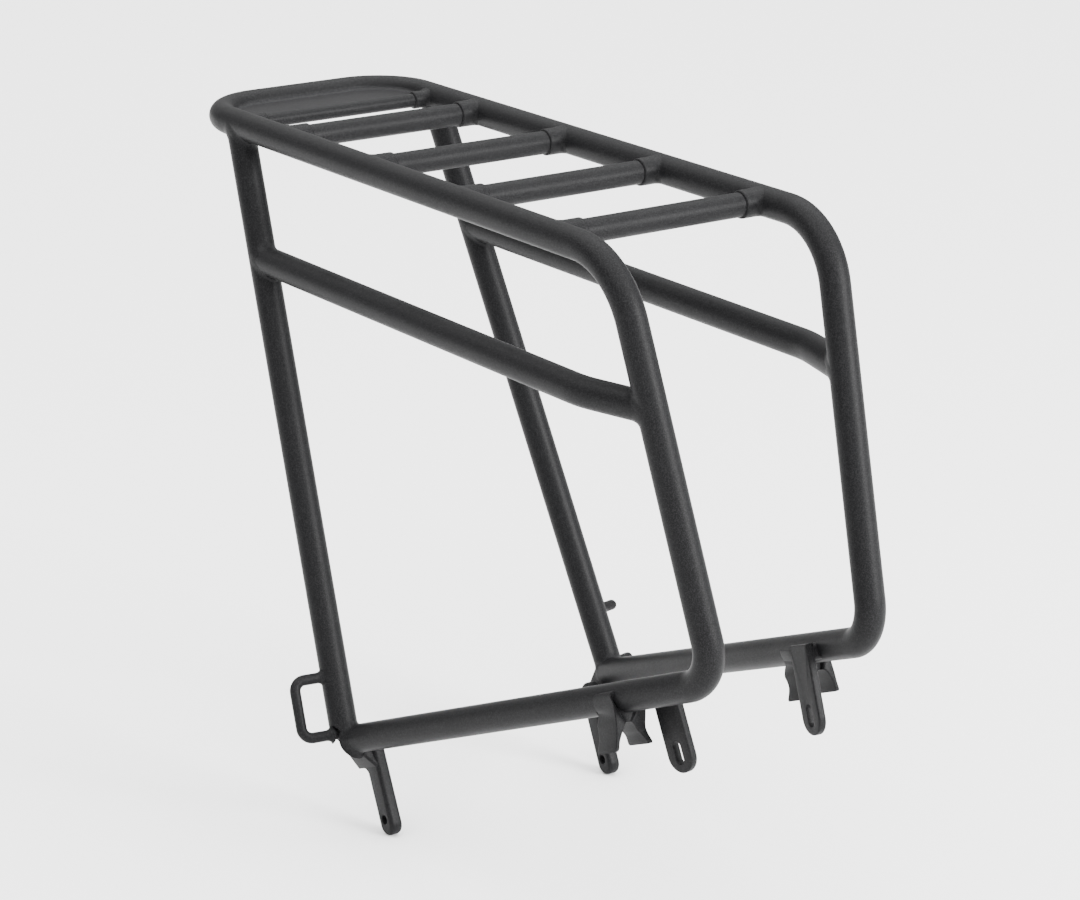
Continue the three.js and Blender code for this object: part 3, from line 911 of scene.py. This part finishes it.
@dataclass
class Deck:
    """Crossbars, tail rod and tail sheet between the two deck rails."""

    lines: RackLines
    crossbars: int = 4
    pitch: float = 86.7
    rod_from_tail: float = 45.0
    sides: int = 48
    collar_length: float = 8.0
    collar_proud: float = 1.0
    collar_flare: float = 2.6
    sheet: float = 3.0
    sheet_weld_up: float = 2.2
    sheet_weld_in: float = 2.6

    def build(self, make: Maker) -> None:
        """Builds the deck.

        Args:
            make: Piece maker.
        """
        k = self.lines
        for i in range(self.crossbars):
            x = k.corner - k.first_crossbar - i * self.pitch
            self.bar(make, f"crossbar_{i + 1}", x, k.crossbar / 2)
        self.bar(make, "tail_bar", k.tail + self.rod_from_tail, k.rod / 2)
        self.tail_sheet(make)

    def bar(self, make: Maker, name: str, x: float, radius: float) -> None:
        """A bar across the deck, with a collar at each end."""
        k = self.lines
        ends = [k.deck_rail(side, x) for side in Side]
        line = spaced(np.stack(ends), 30.0, 15.0)
        grid = tube_grid(line, radius, self.sides)
        cope(grid, k.deck_bar(Side.RIGHT), True)
        cope(grid, k.deck_bar(Side.LEFT), False)
        make.piece(f"{name}_coated", Shell().add_grid(grid), nodes=[name])
        for side in Side:
            shell = Shell()
            self.collar(shell, k.deck_rail(side, x), side, radius)
            node = f"{name}_{side.label}_collar"
            make.piece(f"{node}_coated", shell, nodes=[node])

    def collar(self, shell: Shell, centre: Array, side: Side, radius: float) -> None:
        """Cup round the end of a bar, flared on to the deck rail.

        The section starts on the rail's skin a flare away from the cup, curves up on to the cup's
        wall, runs along it, and turns over a round lip down to the bar.

        Args:
            shell: Takes the surface.
            centre: Where the bar's axis meets the rail's axis.
            side: Side of the rack.
            radius: The bar's radius.
        """
        rail = self.lines.deck_bar(side)
        away = np.array([0.0, -float(side.value), 0.0])
        first, second = across(away)
        a = np.linspace(0, 2 * math.pi, 64, endpoint=False)[:, None]
        out = np.cos(a) * first + np.sin(a) * second
        wall = radius + self.collar_proud
        crossing = rail.reach(centre + wall * out + 30 * away, -away)
        normal = unit(rail.off_axis(crossing))
        leave = out - away
        leave = unit(leave - (leave * normal).sum(1, keepdims=True) * normal)
        low = rail.skin(crossing + self.collar_flare * leave, 0.05)
        lip = self.collar_proud
        top = centre + wall * out + (self.lines.radius + self.collar_length - lip) * away
        high = crossing + 2.8 * away
        curve = bezier(low, crossing + 0.2 * unit(out + normal), high, 8)
        turn = np.linspace(0, math.pi / 2, 6)[:, None, None]
        over = top + lip * (np.sin(turn) * away - (1 - np.cos(turn)) * out)
        fold = np.stack([over[-1] - 0.3 * out, crossing - 1.5 * out - 0.5 * away])
        section = np.concatenate([curve, over, fold])
        shell.add_grid(section, caps=False, loop_rows=True)

    def tail_sheet(self, make: Maker) -> None:
        """Sheet inside the tail bend, with the fillet that blends it into the hoop.

        Each ring of the grid is the sheet's section at one place across the rack. Its front end
        lies just inside the rod, and its rear end follows the bend, just inside the hoop's skin.

        Args:
            make: Piece maker.
        """
        k = self.lines
        half = k.deck_width / 2
        edge = k.radius - 0.5
        bend = k.tail_bend
        y = np.linspace(-1, 1, 121) * (half - edge)
        over = np.clip(np.abs(y) - (half - bend), 0, None)
        rear = k.tail + bend - np.sqrt(np.maximum((bend - edge) ** 2 - over**2, 0))
        front = k.tail + self.rod_from_tail - k.rod / 2 + 0.5
        steps = 8
        share = np.concatenate([np.linspace(0, 1, steps), np.linspace(1, 0, steps)])
        x = front + (rear[:, None] - front) * share
        z = k.deck + np.repeat([self.sheet / 2, -self.sheet / 2], steps)
        shell = Shell().add_grid(np.stack(np.broadcast_arrays(x, y[:, None] + k.middle, z), -1))
        # The sheet and its weld take the lighter coat, which is painted light for the sheet's up-facing top.
        make.piece("tail_plate_coated", shell, "plate_coat", ["tail_plate"])
        make.piece("tail_plate_weld", self.sheet_weld(), "plate_coat")

    def sheet_weld(self) -> Shell:
        """Fillets above and below the sheet, a small curved triangle carried round the bend.

        Returns:
            The two closed bands.
        """
        k = self.lines
        start = k.tail + self.rod_from_tail - k.rod / 2
        corners = [k.deck_rail(Side.RIGHT, start), k.deck_rail(Side.RIGHT, k.tail)]
        corners += [k.deck_rail(Side.LEFT, k.tail), k.deck_rail(Side.LEFT, start)]
        line = bent_path(corners, [k.tail_bend, k.tail_bend], 4.0)
        tangents = ring_frames(line)[0]
        up = np.array([0.0, 0.0, 1.0])
        inward = np.cross(up, tangents)
        inward *= np.sign(((np.array([start, k.middle, k.deck]) - line) * inward).sum(1))[:, None]
        shell = Shell()
        for sign in (1.0, -1.0):
            h = self.sheet / 2
            rise = h + self.sheet_weld_up
            across_skin = math.sqrt(k.radius**2 - rise**2)
            foot = math.sqrt(k.radius**2 - h**2)
            on_tube = line + across_skin * inward + sign * rise * up
            crease = line + foot * inward + sign * h * up
            on_sheet = line + (foot + self.sheet_weld_in) * inward + sign * (h - 0.05) * up
            face = bezier(on_tube, crease, on_sheet, 6)
            fold = (crease - 0.8 * inward - sign * 0.6 * up)[None]
            section = np.concatenate([face, fold]).transpose(1, 0, 2)
            shell.add_grid(section)
        return shell


@dataclass
class Plate:
    """Flat plates with softened edges, placed by two directions and a normal."""

    origin: Array
    first: Array
    second: Array
    normal: Array

    def place(self, flat: Array, depth: Array | float) -> Array:
        """Lifts flat points to their place, depth along the normal."""
        depth = np.broadcast_to(np.asarray(depth, float), flat.shape[:-1])
        rise = depth[..., None] * self.normal
        return self.origin + flat[..., :1] * self.first + flat[..., 1:] * self.second + rise

    def block(self, outline: Array, depth: float, edge: float, steps: int = 4) -> Array:
        """A block of constant outline whose two rims are rounded.

        Ring by ring the outline is drawn in by edge * (1 - sin a) while the depth grows by
        edge * (1 - cos a), then the same in reverse.

        Args:
            outline: Counter-clockwise outline.
            depth: Thickness along the normal.
            edge: Radius of the rims.
            steps: Rings on each rim.

        Returns:
            Grid of rings, to be closed with caps.
        """
        a = np.linspace(0, math.pi / 2, steps)
        rim = [(edge * (1 - math.sin(t)), edge * (1 - math.cos(t))) for t in a]
        rings = [self.place(inset(outline, draw), rise) for draw, rise in rim]
        rings += [self.place(inset(outline, draw), depth - rise) for draw, rise in rim[::-1]]
        return np.stack(rings)

    def pierced(self, outline: Array, hole: Array, depth: float, edge: float, rim: float) -> Array:
        """A plate with one hole, as a ring whose section runs out over one face and back.

        Args:
            outline: Counter-clockwise outline.
            hole: Outline of the hole, with as many points, turning the same way.
            depth: Thickness along the normal.
            edge: Radius of the outer edge.
            rim: Radius of the hole's edge.

        Returns:
            Grid that closes on itself both ways.
        """
        a = np.linspace(0, math.pi / 2, 6)
        outer = [(inset(outline, edge * (1 - math.sin(t))), edge * (1 - math.cos(t))) for t in a]
        inner = [(inset(hole, -rim * (1 - math.cos(t))), rim * (1 - math.sin(t))) for t in a]
        low = [self.place(p, d) for p, d in inner] + [self.place(p, d) for p, d in outer]
        top = [self.place(p, depth - d) for p, d in outer[::-1]]
        top += [self.place(p, depth - d) for p, d in inner[::-1]]
        return np.stack(low + top)


@dataclass
class Dropout:
    """Rear foot of one side: a knuckle under the strut, and a tab drilled for the axle bolt."""

    lines: RackLines
    side: Side
    thickness: float = 7.7
    width: float = 13.0
    ahead: float = 19.2
    below: float = 43.6
    end_below: float = 2.6
    hole: float = 5.3
    depth: float = 19.4
    behind: float = 7.8
    slant_in: float = 2.95
    slant_up: float = 6.9
    spacing: float = 140.4
    root: float = 5.0

    @property
    def foot(self) -> Array:
        """Foot of the strut above."""
        return self.lines.strut_foot(self.side)

    @property
    def inner(self) -> float:
        """Inner face of the tab, measured outwards from the strut's foot."""
        s = self.side.value
        return s * (self.lines.middle + s * self.spacing / 2 - self.foot[1])

    @property
    def slope(self) -> float:
        """Rise of the bottom rail for each millimetre forward."""
        return self.lines.rail_drop / self.lines.rail_reach

    def slant(self, up: Array | float) -> Array | float:
        """Outer limit of the slanted face at a height above the strut's foot."""
        top = self.lines.radius - self.slant_in
        run = (self.inner + self.thickness - top) / (self.depth + self.slant_up)
        return top + run * (self.slant_up - up)

    def slant_plane(self) -> tuple[Array, Array]:
        """A point and the outward normal of the slanted face."""
        s = self.side.value
        point = self.foot + [0.0, s * self.slant(self.slant_up), self.slant_up]
        low = self.foot + [0.0, s * self.slant(-self.depth), -self.depth]
        normal = unit(np.cross(low - point, [1.0, 0.0, self.slope]))
        return point, normal * np.sign(normal[1] * s)

    def build(self, make: Maker) -> None:
        """Builds the foot.

        Args:
            make: Piece maker.
        """
        shell = Shell()
        up, forward = self.tab_axes()
        s = self.side.value
        inner = self.lines.middle + s * self.spacing / 2
        face = min(inner, inner + s * self.thickness)
        at = self.foot + [self.ahead, 0.0, -self.below]
        plate = Plate(np.array([at[0], face, at[2]]), -forward, up, np.array([0.0, 1.0, 0.0]))
        top = self.below - self.root
        outline = stadium(self.width, self.width + top + self.end_below, np.zeros(2), 220)
        outline[:, 1] += (top - self.end_below) / 2
        bearing = np.arctan2(outline[:, 1], outline[:, 0])
        hole = self.hole / 2 * np.stack([np.cos(bearing), np.sin(bearing)], axis=1)
        shell.add_grid(plate.pierced(outline, hole, self.thickness, 2.2, 0.3), loop_rows=True)
        shell.add_grid(self.knuckle())
        node = f"{self.side.label}_rear_dropout"
        make.piece(f"{node}_coated", shell, nodes=[node])

    def tab_axes(self) -> tuple[Array, Array]:
        """Upward and forward directions of the tab, in line with the strut in the side view."""
        lean = self.lines.strut_top(self.side) - self.foot
        up = unit(np.array([lean[0], 0.0, lean[2]]))
        return up, np.array([up[2], 0.0, -up[0]])

    def knuckle(self) -> Array:
        """Knuckle from inside the strut down to the tab.

        Rounded rectangles parallel to the bottom rail are stacked downwards. Their outer sides
        follow the slanted face, their inner sides lean in to the tab, and below the level lower
        face their rear sides follow a hollow curve on to the tab's rear edge.

        Returns:
            Grid of rings.
        """
        d, tab_in = self.depth, self.inner
        tab_out = tab_in + self.thickness
        up, forward = self.tab_axes()
        # up, rear, front, inner, outer
        stations = np.array(
            [
                [4.0, -6.0, 4.0, -8.0, self.slant(4.0)],
                [-3.0, -self.behind, 6.5, -10.0, self.slant(-3.0)],
                [-8.0, -self.behind, 7.2, -11.6, self.slant(-8.0)],
                [-11.0, -self.behind, 8.0, -14.0, self.slant(-11.0)],
                [-13.5, -self.behind, 9.3, -17.2, self.slant(-13.5)],
                [-16.0, -self.behind, 10.9, tab_in + 0.6, self.slant(-16.0)],
                [-18.0, -self.behind, 11.9, tab_in + 0.1, self.slant(-18.0)],
                [-d + 0.25, -self.behind, 12.4, tab_in, self.slant(-d + 0.25)],
                [-d, -self.behind + 0.25, 12.5, tab_in, tab_out - 0.05],
                [-d, -2.9, 12.5, tab_in, tab_out - 0.05],
                [-d - 0.35, -1.4, 12.7, tab_in + 0.05, tab_out - 0.05],
                [-d - 1.0, -0.1, 12.9, tab_in + 0.05, tab_out - 0.05],
                [-d - 2.0, 1.0, 13.2, tab_in + 0.1, tab_out - 0.1],
                [-d - 3.4, 2.1, 13.7, tab_in + 0.15, tab_out - 0.15],
                [-d - 5.4, 3.6, 14.2, tab_in + 0.4, tab_out - 0.4],
            ]
        )
        z, rear, front, inner, outer = stations.T
        ring = rounded_rectangles((front - rear) / 2, (outer - inner) / 2, 1.8)
        along = ring[..., 0] + ((front + rear) / 2)[:, None]
        out = ring[..., 1] + ((inner + outer) / 2)[:, None]
        y = self.side.value * out
        return self.foot + np.stack([along, y, z[:, None] + self.slope * along], axis=-1)


@dataclass
class Saddle:
    """Forked block under the front of one bottom rail."""

    lines: RackLines
    side: Side
    from_corner: float = 68.4
    length: float = 19.4
    below: float = 17.4
    tip_round: float = 1.1
    weld: float = 7.0
    rib_count: int = 90

    @property
    def middle(self) -> Array:
        """Middle of the saddle, on the bottom rail's centre line."""
        k = self.lines
        t = self.from_corner / k.rail_reach
        return k.foot(self.side) * (1 - t) + k.rail_end(self.side) * t

    def build(self, make: Maker) -> None:
        """Builds the saddle.

        Args:
            make: Piece maker.
        """
        node = f"{self.side.label}_front_saddle"
        shell = Shell().add_grid(self.melted(self.fork()))
        make.piece(f"{node}_coated", shell, nodes=[node])

    def fork(self) -> Array:
        """Fork as ribs carried from the tip of one wing over the arch to the other tip.

        Each rib joins a point of the arch to a point of the outer skin, and is drawn out along
        the rail between a rear and a front edge that are curved like the wings.

        Returns:
            Grid of rounded rectangles.
        """
        r = self.lines.radius
        deep = r + self.below
        # outer skin out, up; arch out, up; rear edge in, front edge in
        ribs = np.array(
            [
                [r + 5.2, -deep, r + 2.6, -deep, 0.6, 1.7],
                [r + 3.9, -(r + 12.5), r + 1.4, -(r + 12.5), 2.2, 0.7],
                [r + 2.9, -(r + 7), r - 0.8, -(r + 8), 2.6, -0.3],
                [r + 2.0, -r, r - 2.6, -(r + 5.4), 1.2, -0.5],
                [r + 1.2, -0.2 * r, r - 3.8, -(r + 4.6), 0.0, 0.2],
                [r + 0.5, 0.42 * r, r - 4.4, -(r + 4.4), 0.6, 2.2],
                [0.5 * r, 0.55 * r, r - 5.0, -(r + 4.3), 0.8, 1.4],
                [-0.5 * r, 0.3 * r, r - 5.7, -(r + 4.4), 0.8, 1.0],
                [-(r + 1.2), 0.12 * r, r - 6.5, -(r + 4.6), 0.8, 0.8],
                [-(r + 2.2), -0.4 * r, r - 7.4, -(r + 4.9), 1.0, 0.0],
                [-(r + 1.5), -(r + 2), r - 9.2, -(r + 7), 2.2, 1.0],
                [-(r + 0.3), -(r + 8.5), r - 11.0, -(r + 9.9), 2.8, 2.0],
                [-(r + 0.4), -(r + 12.5), r - 12.6, -(r + 12.5), 2.2, 1.4],
                [-(r + 1.2), -deep, r - 14.2, -deep, 0.4, -0.4],
            ]
        )
        ribs = through(ribs, self.rib_count)
        skin, arch = ribs[:, :2], ribs[:, 2:4]
        number = np.arange(self.rib_count)
        edge = np.minimum(number, number[::-1]) * 0.45
        drawn = np.clip(self.tip_round - edge, 0, None)
        turn = self.tip_round - np.sqrt(self.tip_round**2 - drawn**2)
        rear = -self.length / 2 + ribs[:, 4] + turn
        front = self.length / 2 - ribs[:, 5] - turn
        span = np.linalg.norm(skin - arch, axis=1)
        ring = rounded_rectangles((front - rear) / 2, span / 2, 0.7)
        along = ring[..., 0] + ((front + rear) / 2)[:, None]
        rib = unit(skin - arch)[:, None] * ring[..., 1:] + ((skin + arch) / 2)[:, None]
        across_rail = np.array([0.0, float(self.side.value), 0.0])
        k = self.lines
        return (
            self.middle
            + along[..., None] * k.rail_forward()
            + rib[..., :1] * across_rail
            + rib[..., 1:] * k.rail_up()
        )

    def melted(self, grid: Array) -> Array:
        """Runs the rear of the block into the rail's skin, as its weld does.

        Beside the rail, the height of each point above the tube's skin fades to nothing at the
        rear edge, by a smooth step along the rail.

        Args:
            grid: The block.

        Returns:
            The block with its weld.
        """
        k = self.lines
        bar = k.rail_bar(self.side)
        off = bar.off_axis(grid)
        height = np.linalg.norm(off, axis=-1) - k.radius + 0.1
        rel = grid - self.middle
        step = smooth((rel @ k.rail_forward() + self.length / 2) / self.weld)
        beside = smooth((rel @ k.rail_up() + k.radius + 4.5) / 4.5)
        sink = np.clip(height, 0, None) * (1 - step) * beside
        return grid - unit(off) * sink[..., None]


@dataclass
class SlottedTab:
    """Slotted tab beside one bottom rail and parallel to it, on a pad welded to the rail."""

    lines: RackLines
    side: Side
    thickness: float = 4.3
    width: float = 17.6
    gap: float = 2.0
    ahead: float = 22.6
    drop: float = 33.4
    rise: float = 3.0
    pad: float = 9.0
    slot_width: float = 5.3
    slot_length: float = 12.0
    slot_wall: float = 4.4

    def build(self, make: Maker) -> None:
        """Builds the tab.

        Args:
            make: Piece maker.
        """
        k, s = self.lines, float(self.side.value)
        run = -k.rail_bar(self.side).direction
        outward = unit(np.array([-s * run[1], s * run[0], 0.0]))
        up = -s * np.cross(outward, run)
        at = Saddle(k, self.side).middle + run * self.ahead - up * self.drop
        inner = k.radius + self.gap + self.thickness
        plate = Plate(at - outward * inner, run, up, outward)
        half, top = self.width / 2, self.drop + self.rise
        end = half - self.slot_length / 2 - self.slot_wall
        outline = stadium(self.width, top - end + self.width, np.zeros(2), 240)
        outline[:, 1] = np.minimum(outline[:, 1] + (top + end) / 2, top)
        slot = self.slot_facing(outline)
        shell = Shell()
        shell.add_grid(plate.pierced(outline, slot, self.thickness, 0.9, 0.3), loop_rows=True)
        low, high = top - self.pad, top - 0.2
        edge = half - 0.2
        corners = np.array([[-edge, low], [edge, low], [edge, high], [-edge, high]])
        pad = Plate(at - outward * (inner - 0.6), run, up, outward)
        reach = inner - 0.6 - 0.5 * k.radius
        shell.add_grid(pad.block(resampled(rounded(corners, 2.2), 96), reach, 0.8))
        node = f"{self.side.label}_front_slotted_tab"
        make.piece(f"{node}_coated", shell, nodes=[node])

    def slot_facing(self, outline: Array) -> Array:
        """Slot whose points share the bearings of the outline's points, seen from its middle."""
        dense = stadium(self.slot_width, self.slot_length, np.zeros(2), 720)
        bearing = np.arctan2(dense[:, 1], dense[:, 0])
        order = np.argsort(bearing)
        wanted = np.arctan2(outline[:, 1], outline[:, 0])
        pick = [
            np.interp(wanted, bearing[order], dense[order, k], period=2 * math.pi) for k in (0, 1)
        ]
        return np.stack(pick, axis=1)


@dataclass
class WireFittings:
    """Strap loop on the right strut and the two pegs on the left."""

    lines: RackLines
    out: float = 23.8
    back: float = 4.3
    lower: float = 4.1
    height: float = 29.1
    bend: float = 6.0
    peg_out: float = 18.4
    sides: int = 32
    fillet: Fillet = Fillet(2.6, 2.0, 0.3, 48, 7)

    def root(self, side: Side, height: float) -> Array:
        """Point on a strut's centre line, a height above its foot."""
        k = self.lines
        foot = k.strut_foot(side)
        return k.at_height(k.strut_top(side), foot, foot[2] + height - k.deck)

    def outward(self, side: Side, out: float) -> Array:
        """Step outwards from a strut, slightly to the rear."""
        return np.array([-self.back * out / self.out, side.value * out, 0.0])

    def build(self, make: Maker) -> None:
        """Builds the loop and the pegs.

        Args:
            make: Piece maker.
        """
        self.loop(make)
        self.peg(make, "left_lower_peg", self.lower)
        self.peg(make, "left_upper_peg", self.lower + self.height)

    def loop(self, make: Maker) -> None:
        """Wire bent round in a U, both ends welded to the strut."""
        side = Side.RIGHT
        high, low = self.root(side, self.lower + self.height), self.root(side, self.lower)
        step = self.outward(side, self.out)
        line = bent_path([high, high + step, low + step, low], [self.bend, self.bend], 6.0)
        grid = tube_grid(spaced(line, 8.0, 11.0), self.lines.wire / 2, self.sides)
        bar = self.lines.strut_bar(side)
        cope(grid, bar, True, 1.0)
        shell = Shell().add_grid(grid)
        for root in (high, low):
            self.fillet.add(shell, root, unit(step), self.lines.wire / 2, bar)
        make.piece("right_strap_loop_coated", shell, nodes=["right_strap_loop"])

    def peg(self, make: Maker, name: str, height: float) -> None:
        """Round-ended peg: radius follows a quarter circle over its last stretch."""
        side = Side.LEFT
        root = self.root(side, height)
        away = unit(self.outward(side, self.peg_out))
        length = float(np.linalg.norm(self.outward(side, self.peg_out)))
        r = self.lines.wire / 2
        turn = np.linspace(0, math.pi / 2 - 0.06, 8)
        stations = np.concatenate([[0.0, 9.5], length - r + r * np.sin(turn)])
        radii = np.concatenate([[r, r], r * np.cos(turn)])
        grid = tube_grid(root + stations[:, None] * away, radii, self.sides)
        bar = self.lines.strut_bar(side)
        cope(grid, bar, True, 1.0)
        shell = Shell().add_grid(grid)
        self.fillet.add(shell, root, away, r, bar)
        make.piece(f"{name}_coated", shell, nodes=[name])


# ---------------------------------------------------------------- studio


@dataclass
class Studio:
    """Pale floor, soft lights and the camera."""

    azimuth: float = 55.381
    elevation: float = 17.969
    distance: float = 1805.35
    aim_right: float = 11.77
    aim_up: float = 26.07
    lens: float = 111.016
    floor: float = 12.0  # metres
    room_light: float = 0.95
    sky_light: float = 8.6
    sky_angle: float = 100.0
    softbox_place: tuple[float, float, float] = (2.6, 1.2, 1.3)
    softbox_aim: tuple[float, float, float] = (0.0, 0.0, 0.2)
    softbox_size: float = 1.2
    softbox_power: float = 240.0

    def build(self) -> None:
        """Builds the studio round the rack."""
        self.pale_floor()
        self.world()
        self.sky()
        self.softbox()
        self.camera()

    def pale_floor(self) -> None:
        """Large floor under the rack's lowest point."""
        low = float(CAD_BOX[0][2])
        half = self.floor / 2
        mesh = bpy.data.meshes.new("floor")
        corners = [(-half, -half, low), (half, -half, low), (half, half, low), (-half, half, low)]
        mesh.from_pydata(corners, [], [[0, 1, 2, 3]])
        mesh.materials.append(PalePaint().build())
        obj = bpy.data.objects.new("floor", mesh)
        bpy.context.scene.collection.objects.link(obj)

    def world(self) -> None:
        """Even white surroundings."""
        world = bpy.data.worlds.new("white_room")
        world.use_nodes = True
        background = world.node_tree.nodes["Background"]
        background.inputs["Color"].default_value = linear("#ffffff")
        background.inputs["Strength"].default_value = self.room_light
        bpy.context.scene.world = world

    def sky(self) -> None:
        """Wide soft light from straight above that whitens the floor evenly."""
        light = bpy.data.lights.new("overhead_sky", "SUN")
        light.energy = self.sky_light
        light.angle = math.radians(self.sky_angle)
        obj = bpy.data.objects.new("overhead_sky", light)
        bpy.context.scene.collection.objects.link(obj)

    def softbox(self) -> None:
        """Square soft light in front of the rack."""
        light = bpy.data.lights.new("front_softbox", "AREA")
        light.shape = "SQUARE"
        light.size = self.softbox_size
        light.energy = self.softbox_power
        obj = bpy.data.objects.new("front_softbox", light)
        place = np.array(self.softbox_place)
        obj.matrix_world = facing(unit(place - np.array(self.softbox_aim)), place)
        bpy.context.scene.collection.objects.link(obj)

    def camera(self) -> None:
        """Camera that looks at the middle of the rack from its near front corner."""
        a, e = math.radians(self.azimuth), math.radians(self.elevation)
        back = np.array([math.sin(a) * math.cos(e), -math.cos(a) * math.cos(e), math.sin(e)])
        right = np.array([math.cos(a), math.sin(a), 0.0])
        up = np.cross(back, right)
        aim = np.array(CAD_BOX, float).mean(0)
        aim = aim + (self.aim_right * right + self.aim_up * up) * METRES
        data = bpy.data.cameras.new("camera")
        data.lens = self.lens
        data.sensor_width = 36.0
        data.clip_end = 50.0
        obj = bpy.data.objects.new("camera", data)
        obj.matrix_world = facing(back, aim + back * self.distance * METRES)
        bpy.context.scene.collection.objects.link(obj)
        bpy.context.scene.camera = obj


def facing(back: Array, place: Array) -> Matrix:
    """Placement of a camera or light whose rear points along a direction, level with the floor.

    Args:
        back: Unit vector from what it faces.
        place: Its position.

    Returns:
        World matrix.
    """
    right = unit(np.cross([0.0, 0.0, 1.0], back))
    matrix = np.eye(4)
    matrix[:3, 0], matrix[:3, 1], matrix[:3, 2] = right, np.cross(back, right), back
    matrix[:3, 3] = place
    return Matrix(matrix.tolist())


def main() -> None:
    """Builds the rack's looks and the studio."""
    logging.basicConfig(level=logging.INFO, format="%(message)s")
    finishes = {
        "black_coat": PowderCoat("satin_black_powder_coat", "#0c0c0d", "#232324").build(),
        # The sheet's coat is the tube coat made lighter (#131314, flecks #2b2b2c): painted light for the
        # sheet's up-facing top.
        "plate_coat": PowderCoat("satin_black_powder_coat_on_sheet", "#131314", "#2b2b2c").build(),
    }
    make = Maker(finishes)
    lines = RackLines()
    MainFrame(lines).build(make)
    Deck(lines).build(make)
    for side in Side:
        Dropout(lines, side).build(make)
        Saddle(lines, side).build(make)
        SlottedTab(lines, side).build(make)
    WireFittings(lines).build(make)
    Studio().build()
    log.info("sizes written")


if __name__ == "__main__":
    main()
